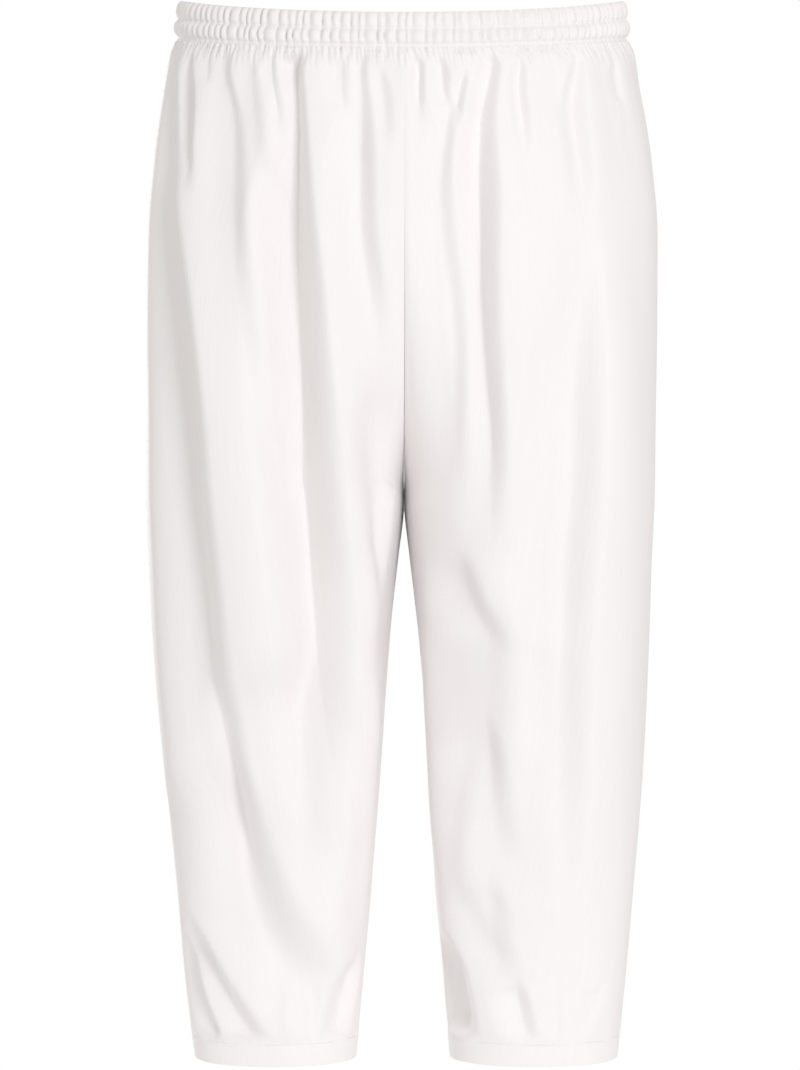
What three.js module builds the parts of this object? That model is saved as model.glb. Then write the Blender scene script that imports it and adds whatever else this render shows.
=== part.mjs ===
// A white salwar: loose trousers, gathered into an elastic waistband, with a narrow band at each ankle.
// They hang open and filled out, as if worn, so that every piece is a thin wall round a hollow.
// Millimetres. X runs to the wearer's left, Y to the back and Z up; the origin is the middle of the waist.
// A drop is a distance down the side seam from the waistband's top edge.
import * as THREE from "three";

// Driving sizes
const BAND_TOP = 20; // height of the waistband's top edge above the origin, at the side seams
const BAND_HEIGHT = 37;
const SIDE_LENGTH = 970; // the whole garment, down its side seam
const ANKLE_BAND_HEIGHT = 20;
const CLOTH = 1.6;
const CASING = 3; // waistband's wall at its stitch lines: elastic between two layers of cloth
const ANKLE_BAND_WALL = 2.2; // cloth turned in and stitched
const SEAM_GAP = 0.3;

// The front of the waist is worn lower than its sides and the back a little higher, fading out down the hips.
const FRONT_DIP = 34;
const BACK_RISE = 4;
const DIP_FADES_AT = 260;
const DIP_POWER = 1.2;

// Between these drops the legs part from each other, and at the lower one the front and back rises meet.
const LEGS_START = 120;
const CROTCH = 452;
const PARTING_POWER = 1.55;
const CENTRE = SEAM_GAP / 2;

// The plain form. right and left are the half widths to the side seams, rightInner and leftInner the distances
// of the inseams from the middle, front and back the depths from the side seams, seamY the side seams' place,
// and square how far a section is from an ellipse, which is 2.
const SECTIONS = [
  { drop: 0, right: 206, left: 202, rightInner: 0, leftInner: 0, front: 143, back: 138, seamY: 0, square: 2 },
  { drop: 18, right: 208, left: 204, rightInner: 0, leftInner: 0, front: 145, back: 140, seamY: 0, square: 2 },
  { drop: 37, right: 209, left: 205, rightInner: 0, leftInner: 0, front: 148, back: 143, seamY: 0, square: 2 },
  { drop: 56, right: 217, left: 213, rightInner: 0, leftInner: 0, front: 152, back: 149, seamY: 0, square: 2.05 },
  { drop: 78, right: 221, left: 216, rightInner: 0, leftInner: 0, front: 155, back: 156, seamY: 1, square: 2.1 },
  { drop: 146, right: 231, left: 226, rightInner: 0, leftInner: 0, front: 160, back: 170, seamY: 3, square: 2.15 },
  { drop: 220, right: 237, left: 232, rightInner: 0, leftInner: 0, front: 160, back: 176, seamY: 4, square: 2.2 },
  { drop: 300, right: 238, left: 232, rightInner: 0, leftInner: 0, front: 155, back: 171, seamY: 4, square: 2.25 },
  { drop: 375, right: 237, left: 231, rightInner: 0, leftInner: 0, front: 146, back: 160, seamY: 3, square: 2.3 },
  { drop: 452, right: 236, left: 230, rightInner: 0.3, leftInner: 0.3, front: 136, back: 145, seamY: 2, square: 2.35 },
  { drop: 514, right: 233, left: 227, rightInner: 6.5, leftInner: 6, front: 127, back: 133, seamY: 0, square: 2.3 },
  { drop: 588, right: 229, left: 224, rightInner: 14, leftInner: 14, front: 117, back: 121, seamY: -1, square: 2.25 },
  { drop: 698, right: 220, left: 218, rightInner: 21, leftInner: 23, front: 103, back: 105, seamY: -1, square: 2.2 },
  { drop: 809, right: 209, left: 210, rightInner: 30, leftInner: 29, front: 87, back: 89, seamY: 1, square: 2.15 },
  { drop: 900, right: 201, left: 203, rightInner: 38, leftInner: 37, front: 73, back: 75, seamY: 3, square: 2.1 },
  { drop: 970, right: 192, left: 196, rightInner: 44, leftInner: 42, front: 65, back: 63, seamY: 4, square: 2.05 },
];

// The folds of each panel: soft troughs between two drops. start, upper, lower and end are distances along the
// cloth from the side seam, at equal steps down the fold, and reach is half of its width.
const FOLDS = {
  front_right: [
    { from: 38, to: 890, start: 57, upper: 131, lower: 133, end: 190, reach: 15, depth: 6 },
    { from: 38, to: 230, start: 76, upper: 100, lower: 116, end: 128, reach: 11, depth: 5 },
    { from: 38, to: 440, start: 124, upper: 178, lower: 206, end: 216, reach: 13, depth: 4.5 },
    { from: 48, to: 230, start: 154, upper: 185, lower: 212, end: 228, reach: 12, depth: 2.5 },
    { from: 38, to: 140, start: 168, upper: 185, lower: 197, end: 203, reach: 10, depth: 3.5 },
    { from: 38, to: 600, start: 198, upper: 245, lower: 251, end: 226, reach: 15, depth: 7 },
    { from: 38, to: 120, start: 235, upper: 247, lower: 257, end: 263, reach: 10, depth: 3 },
    { from: 38, to: 560, start: 252, upper: 300, lower: 322, end: 296, reach: 13, depth: 4.5 },
    { from: 575, to: 780, start: 240, upper: 228, lower: 212, end: 190, reach: 32, depth: 6 },
    { from: 610, to: 930, start: 318, upper: 262, lower: 232, end: 172, reach: 14, depth: 3.5 },
    { from: 850, to: 950, start: 40, upper: 50, lower: 62, end: 72, reach: 12, depth: 3 },
  ],
  front_left: [
    { from: 38, to: 112, start: 271, upper: 277, lower: 283, end: 286, reach: 9, depth: 3.5 },
    { from: 38, to: 112, start: 250, upper: 255, lower: 258, end: 262, reach: 9, depth: 3 },
    { from: 48, to: 560, start: 231, upper: 283, lower: 277, end: 222, reach: 13, depth: 4.5 },
    { from: 38, to: 520, start: 201, upper: 240, lower: 247, end: 221, reach: 14, depth: 6 },
    { from: 38, to: 150, start: 177, upper: 188, lower: 196, end: 203, reach: 10, depth: 3.5 },
    { from: 38, to: 880, start: 117, upper: 152, lower: 130, end: 92, reach: 16, depth: 4.5 },
    { from: 38, to: 112, start: 68, upper: 73, lower: 72, end: 70, reach: 10, depth: 2.5 },
    { from: 540, to: 860, start: 224, upper: 208, lower: 185, end: 137, reach: 15, depth: 4.5 },
    { from: 868, to: 950, start: 218, upper: 198, lower: 172, end: 152, reach: 12, depth: 3 },
    { from: 885, to: 950, start: 54, upper: 60, lower: 66, end: 74, reach: 11, depth: 2.5 },
  ],
  back_right: [
    { from: 38, to: 820, start: 64, upper: 118, lower: 142, end: 176, reach: 15, depth: 5.5 },
    { from: 38, to: 260, start: 92, upper: 112, lower: 124, end: 130, reach: 11, depth: 4.5 },
    { from: 38, to: 360, start: 138, upper: 172, lower: 190, end: 198, reach: 13, depth: 4.5 },
    { from: 38, to: 150, start: 166, upper: 180, lower: 190, end: 196, reach: 10, depth: 3 },
    { from: 38, to: 610, start: 192, upper: 236, lower: 252, end: 240, reach: 15, depth: 6.5 },
    { from: 38, to: 430, start: 236, upper: 270, lower: 296, end: 306, reach: 13, depth: 5 },
    { from: 38, to: 160, start: 262, upper: 276, lower: 286, end: 292, reach: 10, depth: 3 },
    { from: 600, to: 880, start: 300, upper: 262, lower: 226, end: 186, reach: 18, depth: 5 },
    { from: 860, to: 950, start: 96, upper: 90, lower: 82, end: 76, reach: 12, depth: 3 },
  ],
  back_left: [
    { from: 38, to: 170, start: 260, upper: 272, lower: 282, end: 288, reach: 10, depth: 3.5 },
    { from: 38, to: 520, start: 238, upper: 276, lower: 288, end: 262, reach: 13, depth: 5 },
    { from: 38, to: 130, start: 214, upper: 222, lower: 230, end: 236, reach: 10, depth: 3 },
    { from: 38, to: 640, start: 186, upper: 228, lower: 238, end: 214, reach: 15, depth: 6.5 },
    { from: 38, to: 240, start: 142, upper: 162, lower: 176, end: 184, reach: 12, depth: 4 },
    { from: 38, to: 860, start: 108, upper: 142, lower: 136, end: 104, reach: 15, depth: 5 },
    { from: 38, to: 200, start: 58, upper: 70, lower: 76, end: 78, reach: 11, depth: 3.5 },
    { from: 620, to: 890, start: 286, upper: 254, lower: 214, end: 168, reach: 17, depth: 4.5 },
    { from: 875, to: 950, start: 58, upper: 66, lower: 76, end: 84, reach: 12, depth: 2.5 },
  ],
};
const SIDE_SEAM_FADE = 24; // a fold dies out over this distance before a side seam or inseam
const CENTRE_FADE = 10;
const FOLD_OPENS = 14; // and over these distances at its upper and lower end
const FOLD_CLOSES = 60;

// The waistband's puffed tunnels, which the gathers cross. lift is how far the cloth stands out of the casing's
// plain form, and gather how deep the gathers are there.
const BAND_ROWS = [
  { share: 0, lift: 0, gather: 1.2 },
  { share: 0.24, lift: 2.6, gather: 2.4 },
  { share: 0.49, lift: 0.2, gather: 1.2 },
  { share: 0.75, lift: 3, gather: 2.4 },
  { share: 1, lift: 0.2, gather: 1.2 },
];
const GATHERS_PER_QUARTER = 34;
const GATHER_SHAPE = [-1, 0.55, 0.45]; // crease, then the two shoulders of the puff, as shares of the depth
const UNEVENNESS = { share: 0.25, quick: 2.4, slow: 0.9 }; // neighbouring gathers differ in depth by two slow beats

// Drops of the rows of faces down a panel, closer where the cloth turns most
const PANEL_TOP = BAND_HEIGHT + SEAM_GAP;
const PANEL_END = SIDE_LENGTH - ANKLE_BAND_HEIGHT;
const PANEL_ROWS = [
  PANEL_TOP, 46, 60, 85, 125, 175, 230, 285, 335, 375, 405, 428, 443, 452, 500, 560, 620, 680, 740, 800, 855, 905,
  PANEL_END,
];
const PANEL_COLUMNS = 27;

// Half rings grow longer where they wrap round the crotch. The columns run straight down the thigh if they follow
// these plain lengths and the extra length goes to the innermost ones.
const PLAIN_LENGTHS = [
  { drop: 37, length: 282 },
  { drop: 146, length: 314 },
  { drop: 300, length: 333 },
  { drop: 452, length: 348 },
  { drop: 600, length: 342 },
  { drop: 809, length: 281 },
  { drop: 970, length: 219 },
];
const INNER_CROWDING = 4;
const ANKLE_COLUMNS = 28; // in each half
const ANKLE_EDGE = { height: 2, raised: 0.6 }; // the ankle band's softly rounded edges
const RING_STEPS = 160;

const COLOURS = { cloth: "#f7f4f2", band: "#f5f2f0", ankle: "#f8f5f3" };

// A smooth curve through a table's column, which doesn't overshoot between its rows
function slopeAt(table, column, index) {
  const rise = (i) => (table[i + 1][column] - table[i][column]) / (table[i + 1].drop - table[i].drop);
  if (index === 0) return rise(0);
  if (index === table.length - 1) return rise(index - 1);
  const before = rise(index - 1);
  const after = rise(index);
  return before * after > 0 ? (2 * before * after) / (before + after) : 0;
}

function sectionValue(column, drop) {
  const last = SECTIONS.length - 2;
  const index = Math.min(last, Math.max(0, SECTIONS.findIndex((row) => row.drop >= drop) - 1));
  const [a, b] = [SECTIONS[index], SECTIONS[index + 1]];
  const step = b.drop - a.drop;
  const t = THREE.MathUtils.clamp((drop - a.drop) / step, 0, 1);
  const ease = t * t * (3 - 2 * t);
  const leave = t * (1 - t) * (1 - t) * step * slopeAt(SECTIONS, column, index);
  const arrive = t * t * (t - 1) * step * slopeAt(SECTIONS, column, index + 1);
  return a[column] * (1 - ease) + b[column] * ease + leave + arrive;
}

// Half of a section, from the side seam to the centre seam or inseam. Two legs that overlap the middle are cut
// off there, so that they share one ring above the crotch and part below it.
function halfRing(leg, half, drop) {
  const outer = sectionValue(leg, drop);
  const inner = Math.max(CENTRE, sectionValue(leg + "Inner", drop));
  const depth = sectionValue(half, drop);
  const seamY = sectionValue("seamY", drop);
  const power = 2 / sectionValue("square", drop);
  const together = 1 - THREE.MathUtils.clamp((drop - LEGS_START) / (CROTCH - LEGS_START), 0, 1);
  const far = inner - outer * together ** PARTING_POWER;
  const middle = (outer + far) / 2;
  const halfWidth = (outer - far) / 2;
  const cut = (inner - middle) / halfWidth;
  const lastAngle = Math.acos(Math.sign(cut) * Math.min(1, Math.abs(cut) ** (1 / power)));
  const sideways = leg === "left" ? 1 : -1;
  const backwards = half === "back" ? 1 : -1;
  const fade = Math.max(0, 1 - drop / DIP_FADES_AT);
  const dip = (half === "front" ? FRONT_DIP : -BACK_RISE) * fade;
  const points = [];
  for (let i = 0; i <= RING_STEPS; i += 1) {
    const angle = (lastAngle * i) / RING_STEPS;
    const cos = Math.cos(angle);
    const away = Math.abs(Math.sin(angle)) ** power;
    const x = middle + halfWidth * Math.sign(cos) * Math.abs(cos) ** power;
    const y = seamY + backwards * (depth * away + SEAM_GAP / 2);
    points.push(new THREE.Vector3(sideways * x, y, BAND_TOP - drop - dip * away ** DIP_POWER));
  }
  const along = [0];
  for (let i = 1; i < points.length; i += 1) {
    const step = Math.hypot(points[i].x - points[i - 1].x, points[i].y - points[i - 1].y);
    along.push(along[i - 1] + step);
  }
  return { points, along, total: along.at(-1), sideways, backwards };
}

// The place and outward direction at a distance along a half ring from its side seam
function ringAt(ring, distance) {
  const after = Math.max(1, ring.along.findIndex((value) => value >= Math.min(distance, ring.total)));
  const [a, b] = [ring.points[after - 1], ring.points[after]];
  const share = (distance - ring.along[after - 1]) / (ring.along[after] - ring.along[after - 1]);
  const place = a.clone().lerp(b, THREE.MathUtils.clamp(share, 0, 1));
  const turn = ring.sideways * ring.backwards;
  const out = new THREE.Vector3(turn * (b.y - a.y), turn * (a.x - b.x), 0).normalize();
  if (distance === 0) out.set(ring.sideways, 0, 0);
  return { place, out };
}

// The distance of a grid column from the side seam
function columnDistance(ring, drop, column) {
  const after = Math.max(1, PLAIN_LENGTHS.findIndex((row) => row.drop >= drop));
  const [a, b] = [PLAIN_LENGTHS[after - 1], PLAIN_LENGTHS[after]];
  const plain = THREE.MathUtils.mapLinear(drop, a.drop, b.drop, a.length, b.length);
  const share = column / PANEL_COLUMNS;
  return plain * share + (ring.total - plain) * share ** INNER_CROWDING;
}

// How deep the folds push the cloth in, at one place of a panel
function foldDepth(folds, drop, distance, total) {
  let depth = 0;
  for (const fold of folds) {
    if (drop <= fold.from || drop >= fold.to) continue;
    const t = (3 * (drop - fold.from)) / (fold.to - fold.from);
    const stations = [fold.start, fold.upper, fold.lower, fold.end];
    const index = Math.min(2, Math.floor(t));
    const line = THREE.MathUtils.lerp(stations[index], stations[index + 1], t - index);
    const offset = (distance - line) / fold.reach;
    if (Math.abs(offset) >= 1) continue;
    const opens = Math.min(1, (drop - fold.from + FOLD_OPENS / 2) / FOLD_OPENS);
    const closes = Math.min(1, (fold.to - drop) / Math.min(FOLD_CLOSES, (fold.to - fold.from) / 2));
    depth += fold.depth * opens * closes * Math.cos((offset * Math.PI) / 2) ** 2;
  }
  const side = THREE.MathUtils.smoothstep(distance, 0, SIDE_SEAM_FADE);
  const centre = THREE.MathUtils.smoothstep(total - distance, 0, CENTRE_FADE);
  return depth * side * centre;
}

// A closed shell from rows of points: an outer skin, an inner skin that may have fewer columns, and rims between
// them. round says that each row closes on itself, as on a tube.
function shell(outer, inner, round) {
  const skins = [outer, inner];
  const starts = [0, outer.length * outer[0].length];
  const position = skins.flat(2).flatMap((point) => [point.x, point.y, point.z]);
  const at = (skin, row, column) => {
    const columns = skins[skin][0].length;
    return starts[skin] + row * columns + (column % columns);
  };
  const faces = [];
  const quad = (a, b, c, d) => faces.push([a, b, c], [a, c, d]);
  const spans = skins.map((rows) => (round ? rows[0].length : rows[0].length - 1));
  skins.forEach((rows, skin) => {
    for (let row = 0; row < rows.length - 1; row += 1) {
      for (let column = 0; column < spans[skin]; column += 1) {
        const [a, b] = [at(skin, row, column), at(skin, row + 1, column)];
        const [c, d] = [at(skin, row + 1, column + 1), at(skin, row, column + 1)];
        if (skin) quad(a, d, c, b);
        else quad(a, b, c, d);
      }
    }
  });
  // Each span of the inner skin's rim meets one or more spans of the outer skin's
  const perInner = spans[0] / spans[1];
  const turning = Math.ceil(perInner / 2);
  for (const top of [true, false]) {
    const outerRow = top ? 0 : outer.length - 1;
    const innerRow = top ? 0 : inner.length - 1;
    const add = (a, b, c) => faces.push(top ? [a, b, c] : [a, c, b]);
    for (let span = 0; span < spans[1]; span += 1) {
      const near = at(1, innerRow, span);
      const next = at(1, innerRow, span + 1);
      for (let i = 0; i < perInner; i += 1) {
        const column = span * perInner + i;
        add(at(0, outerRow, column), at(0, outerRow, column + 1), i < turning ? near : next);
      }
      add(at(0, outerRow, span * perInner + turning), next, near);
    }
  }
  if (!round) {
    for (const column of [0, spans[0]]) {
      for (let row = 0; row < outer.length - 1; row += 1) {
        const corners = [
          at(0, row, column),
          at(1, row, column),
          at(1, row + 1, column),
          at(0, row + 1, column),
        ];
        quad(...(column ? corners.reverse() : corners));
      }
    }
  }
  return facingOut(position, faces);
}

// A geometry whose faces point out of the solid, whichever way its rows run
function facingOut(position, faces) {
  const corner = (index) => new THREE.Vector3().fromArray(position, index * 3);
  const volume = faces.reduce((sum, [a, b, c]) => sum + corner(a).dot(corner(b).cross(corner(c))), 0);
  const geometry = new THREE.BufferGeometry();
  geometry.setAttribute("position", new THREE.Float32BufferAttribute(position, 3));
  geometry.setIndex(faces.flatMap(([a, b, c]) => (volume < 0 ? [a, c, b] : [a, b, c])));
  geometry.computeVertexNormals();
  return geometry;
}

// A front or back of one leg, from the waistband to the ankle band
function panelGeometry(leg, half) {
  const folds = FOLDS[`${half}_${leg}`];
  const outer = [];
  const inner = [];
  for (const drop of PANEL_ROWS) {
    const ring = halfRing(leg, half, drop);
    const outerRow = [];
    const innerRow = [];
    for (let column = 0; column <= PANEL_COLUMNS; column += 1) {
      const distance = columnDistance(ring, drop, column);
      const { place, out } = ringAt(ring, distance);
      const pushed = -foldDepth(folds, drop, distance, ring.total);
      outerRow.push(place.clone().addScaledVector(out, pushed));
      innerRow.push(place.clone().addScaledVector(out, pushed - CLOTH));
    }
    outer.push(outerRow);
    inner.push(innerRow);
  }
  return shell(outer, inner, false);
}

// One turn round both halves of a leg, or round the waist, as places and outward directions
function fullTurn(quarters, drop, columnsEach) {
  return quarters.flatMap(({ leg, half, fromSide }) => {
    const ring = halfRing(leg, half, drop);
    return Array.from({ length: columnsEach }, (_, column) => {
      const share = column / columnsEach;
      return ringAt(ring, ring.total * (fromSide ? share : 1 - share));
    });
  });
}

const WAIST_TURN = [
  { leg: "left", half: "front", fromSide: true },
  { leg: "right", half: "front", fromSide: false },
  { leg: "right", half: "back", fromSide: true },
  { leg: "left", half: "back", fromSide: false },
];

function gatherStrength(number) {
  const beat = Math.sin(number * UNEVENNESS.quick) * Math.cos(number * UNEVENNESS.slow);
  return 1 - UNEVENNESS.share * (1 - beat);
}

// The gathered casing: a plain inside, and outer points raised into tunnels and gathers
function waistbandGeometry() {
  const across = GATHER_SHAPE.length;
  const outer = BAND_ROWS.map(({ share, lift, gather }) =>
    fullTurn(WAIST_TURN, BAND_HEIGHT * share, GATHERS_PER_QUARTER * across).map(({ place, out }, column) => {
      const depth = gather * gatherStrength(Math.floor(column / across));
      return place.addScaledVector(out, lift + depth * GATHER_SHAPE[column % across]);
    }),
  );
  const inner = [0, BAND_HEIGHT].map((drop) =>
    fullTurn(WAIST_TURN, drop, GATHERS_PER_QUARTER).map(({ place, out }) => place.addScaledVector(out, -CASING)),
  );
  return shell(outer, inner, true);
}

// The narrow band below a leg's stitch line
function ankleBandGeometry(leg) {
  const turn = [
    { leg, half: "front", fromSide: true },
    { leg, half: "back", fromSide: false },
  ];
  const top = PANEL_END + SEAM_GAP;
  const rows = [
    { drop: top, raised: 0 },
    { drop: top + ANKLE_EDGE.height, raised: ANKLE_EDGE.raised },
    { drop: SIDE_LENGTH - ANKLE_EDGE.height, raised: ANKLE_EDGE.raised },
    { drop: SIDE_LENGTH, raised: 0 },
  ];
  const skin = (offset) =>
    rows.map(({ drop, raised }) =>
      fullTurn(turn, drop, ANKLE_COLUMNS).map(({ place, out }) =>
        place.addScaledVector(out, offset ? -offset : raised),
      ),
    );
  return shell(skin(0), skin(ANKLE_BAND_WALL), true);
}

function clothPiece(name, geometry, colour) {
  const material = new THREE.MeshStandardMaterial({ color: colour, roughness: 0.85, metalness: 0 });
  const mesh = new THREE.Mesh(geometry, material);
  mesh.name = name;
  return mesh;
}

const salwar = new THREE.Group();
salwar.add(clothPiece("waistband", waistbandGeometry(), COLOURS.band));
for (const leg of ["right", "left"]) {
  for (const half of ["front", "back"]) {
    salwar.add(clothPiece(`${half}_${leg}`, panelGeometry(leg, half), COLOURS.cloth));
  }
  salwar.add(clothPiece(`ankle_band_${leg}`, ankleBandGeometry(leg), COLOURS.ankle));
}

export default salwar;
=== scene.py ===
"""A white salwar: loose trousers gathered into an elastic waistband, filled out as worn, in white light."""
from collections import namedtuple
import math

import bpy
import numpy as np
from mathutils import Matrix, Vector


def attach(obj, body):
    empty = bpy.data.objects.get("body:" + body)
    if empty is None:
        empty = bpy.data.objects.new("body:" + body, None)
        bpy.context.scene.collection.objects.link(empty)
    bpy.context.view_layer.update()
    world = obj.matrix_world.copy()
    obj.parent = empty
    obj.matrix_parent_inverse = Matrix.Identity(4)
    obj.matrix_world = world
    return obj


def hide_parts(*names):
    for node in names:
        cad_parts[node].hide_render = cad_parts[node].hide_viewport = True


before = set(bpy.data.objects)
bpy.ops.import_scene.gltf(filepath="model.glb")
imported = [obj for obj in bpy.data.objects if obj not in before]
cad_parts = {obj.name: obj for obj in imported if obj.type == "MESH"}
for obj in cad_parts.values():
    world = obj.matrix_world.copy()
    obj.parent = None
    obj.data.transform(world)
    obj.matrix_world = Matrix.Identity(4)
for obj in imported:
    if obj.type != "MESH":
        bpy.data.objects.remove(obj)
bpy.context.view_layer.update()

MM = 0.001

# The photograph's frame, and the camera that looks straight at the front from half the garment's height
PHOTO_SIZE = (800, 1070)
PIXEL = 0.92 * MM  # in the plane of the side seams
CAMERA_DISTANCE = 2.8
CAMERA_X = -3.7 * MM
CAMERA_Z = -471 * MM
SENSOR_HEIGHT = 24.0

# Sizes of the garment, as in its solids
BAND_TOP = 20 * MM
BAND_HEIGHT = 37 * MM
SIDE_LENGTH = 970 * MM
ANKLE_BAND_HEIGHT = 20 * MM
FRONT_DIP, BACK_RISE, DIP_FADES_AT, DIP_POWER = 34 * MM, 4 * MM, 260 * MM, 1.2
LEGS_START, CROTCH, PARTING_POWER = 120 * MM, 452 * MM, 1.55
CLOTH = 0.9 * MM
CASING = 3 * MM
ANKLE_BAND_WALL = 1.6 * MM
SEAM_GAP, PANEL_GAP, ANKLE_GAP = 0.04 * MM, 0.1 * MM, 0.05 * MM  # seams, waistband, ankles
LEG_END = SIDE_LENGTH - ANKLE_BAND_HEIGHT

# The plain form, in millimetres: half widths to the side seams, distances of the inseams from the middle,
# depths from the side seams, the side seams' place, and how square a section is, where 2 is an ellipse
SECTION_NAMES = "drop right left rightInner leftInner front back seamY square".split()
SECTION_ROWS = [
    (0, 206, 202, 0, 0, 143, 138, 0, 2.0),
    (18, 208, 204, 0, 0, 145, 140, 0, 2.05),
    (37, 209, 205, 0, 0, 148, 143, 0, 2.1),
    (56, 217, 213, 0, 0, 152, 149, 0, 2.15),
    (78, 221, 216, 0, 0, 155, 156, 1, 2.2),
    (146, 231, 226, 0, 0, 160, 170, 3, 2.3),
    (220, 237, 232, 0, 0, 160, 176, 4, 2.35),
    (300, 238, 232, 0, 0, 155, 171, 4, 2.4),
    (375, 237, 231, 0, 0, 146, 160, 3, 2.45),
    (452, 236, 230, 0.3, 0.3, 136, 145, 2, 2.5),
    (514, 233, 227, 6.5, 6, 127, 133, 0, 2.45),
    (588, 229, 224, 14, 14, 117, 121, -1, 2.4),
    (698, 220, 218, 21, 23, 103, 105, -1, 2.35),
    (809, 209, 210, 30, 29, 87, 89, 1, 2.3),
    (900, 201, 203, 38, 37, 73, 75, 3, 2.2),
    (970, 192, 196, 44, 42, 65, 63, 4, 2.1),
]
SECTIONS = dict(zip(SECTION_NAMES, np.array(SECTION_ROWS, float).T * MM))
SECTIONS["square"] = SECTIONS["square"] / MM

# Folds of each panel, in millimetres: the drops between which a fold runs, its distances along the cloth from
# the side seam at equal steps down it, the width of its slope where it is widest, its depth, and how soft its
# edge is, from 0 to 1
Fold = namedtuple("Fold", "start end stations width depth soft")
FOLDS = {
    "front_right": [
        (40, 900, (56, 98, 132, 145, 140, 133, 139, 190), 34, 31, 0.6),
        (655, 940, (133, 133, 154, 208), 54, 34, 0.8),
        (38, 190, (78, 103, 117, 131), 12, 12, 0.3),
        (40, 80, (104, 109, 114, 118), 6, 3, 0),
        (38, 460, (124, 160, 183, 199, 210, 218), 26, 16, 1),
        (46, 225, (156, 181, 205, 235), 20, 9, 1),
        (38, 140, (171, 186, 199, 207), 9, 8, 0.2),
        (38, 82, (195, 200, 205, 210), 6, 3, 0),
        (38, 760, (199, 234, 254, 259, 257, 249, 238), 27, 45, 0.2),
        (38, 112, (238, 248, 255, 264), 9, 5.5, 0.2),
        (38, 350, (254, 277, 292, 303, 315, 323), 16, 13, 0.7),
        (320, 570, (320, 331, 322, 296), 22, 13, 1),
        (50, 140, (274, 289, 299, 309), 10, 5, 0.7),
        (560, 850, (252, 232, 216, 204, 194), 58, 36, 1),
        (600, 880, (276, 262, 242, 214), 36, 13, 1),
        (825, 985, (34, 62, 87, 107, 124), 23, 18, 0.8),
        (845, 985, (20, 40, 60, 80), 15, 13, 0.7),
        (862, 965, (228, 217, 197, 181), 15, 11, 0.6),
        (895, 952, (136, 131, 127, 124), 12, 2.5, 1),
        (890, 952, (176, 168, 159, 153), 9, 3, 1),
    ],
    "front_left": [
        (38, 108, (271, 281, 289), 6, 7, 0),
        (38, 112, (252, 259, 261), 8, 7, 0.2),
        (52, 120, (235, 244, 253, 262), 6, 6, 0.2),
        (95, 480, (259, 279, 286, 283, 280, 276, 266), 18, 13, 0.8),
        (50, 98, (222, 227, 232, 235), 9, 3, 0.6),
        (38, 530, (202, 230, 245, 253, 252, 243, 235, 222), 18, 22, 0.2),
        (38, 150, (179, 191, 197, 206), 7, 6, 0.3),
        (44, 120, (144, 152, 159, 165), 9, 2, 1),
        (38, 215, (118, 137, 146, 159), 12, 11, 0.4),
        (150, 880, (152, 160, 152, 130, 92), 34, 21, 1),
        (48, 100, (70, 78, 81, 79), 9, 2.5, 1),
        (500, 600, (266, 250, 230, 200), 26, 13, 1),
        (530, 740, (222, 212, 202, 192), 40, 15, 1),
        (640, 800, (224, 203, 184, 163), 30, 13, 1),
        (790, 900, (186, 168, 146), 28, 11, 1),
        (845, 960, (232, 205, 188, 174), 28, 20, 0.6),
        (885, 956, (145, 129, 114), 14, 10, 0.6),
        (904, 952, (102, 99, 96, 93), 12, 3, 1),
        (890, 952, (57, 62, 68, 75), 12, 3, 1),
    ],
    "back_right": [
        (38, 830, (68, 134, 148, 179), 17, 15, 0.2),
        (38, 260, (96, 124, 140, 146), 10, 9, 0.3),
        (38, 360, (141, 184, 202, 206), 14, 10, 0.8),
        (38, 150, (169, 187, 199, 207), 8, 6, 0.3),
        (38, 610, (195, 247, 258, 244), 16, 17, 0.2),
        (38, 110, (219, 227, 235, 240), 8, 5, 0.3),
        (38, 430, (239, 280, 305, 309), 12, 10, 0.3),
        (38, 160, (265, 282, 295, 302), 9, 5, 0.3),
        (590, 880, (304, 263, 228, 188), 26, 11, 0.8),
        (860, 952, (100, 93, 85, 78), 12, 6, 0.3),
        (890, 952, (172, 164, 156, 147), 11, 5, 0.3),
    ],
    "back_left": [
        (38, 170, (263, 278, 291, 298), 9, 6, 0.3),
        (38, 520, (241, 287, 295, 266), 13, 11, 0.8),
        (38, 130, (217, 227, 238, 245), 8, 5, 0.3),
        (38, 640, (189, 239, 244, 219), 16, 17, 0.2),
        (38, 240, (145, 172, 188, 196), 12, 8, 0.3),
        (38, 120, (130, 138, 146, 152), 8, 5, 0.3),
        (38, 860, (112, 155, 142, 107), 18, 11, 0.8),
        (38, 200, (62, 81, 91, 97), 10, 6, 0.3),
        (620, 890, (286, 255, 216, 170), 22, 10, 0.8),
        (875, 952, (63, 70, 79, 86), 12, 5, 0.3),
        (900, 952, (143, 136, 128, 121), 10, 5, 0.3),
    ],
}
# Soft ridges between the folds, in millimetres: the first three columns are the same, then come the distance
# from a ridge's top to its foot, and its height
Ridge = namedtuple("Ridge", "start end stations reach height")
RIDGES = {
    "front_right": [
        (440, 930, (122, 110, 103, 130), 20, 4),
        (420, 870, (198, 177, 173, 206), 26, 5),
        (430, 615, (299, 294, 288, 277), 21, 6),
        (150, 470, (162, 177, 184, 186), 20, 2),
    ],
    "front_left": [
        (200, 760, (201, 191, 171, 132), 17, 3),
        (640, 905, (234, 225, 199, 120), 19, 5),
        (620, 860, (165, 157, 142, 115), 20, 3),
        (470, 950, (309, 304, 289, 259, 222, 184), 28, 9),
    ],
    "back_right": [
        (400, 900, (113, 112, 106, 123), 22, 4),
        (420, 850, (202, 189, 181, 153), 24, 4),
        (430, 610, (304, 295, 286, 274), 20, 5),
    ],
    "back_left": [
        (380, 880, (123, 113, 106, 99), 22, 4),
        (430, 640, (299, 290, 281, 269), 20, 5),
        (640, 900, (228, 217, 193, 143), 20, 4),
    ],
}

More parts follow.
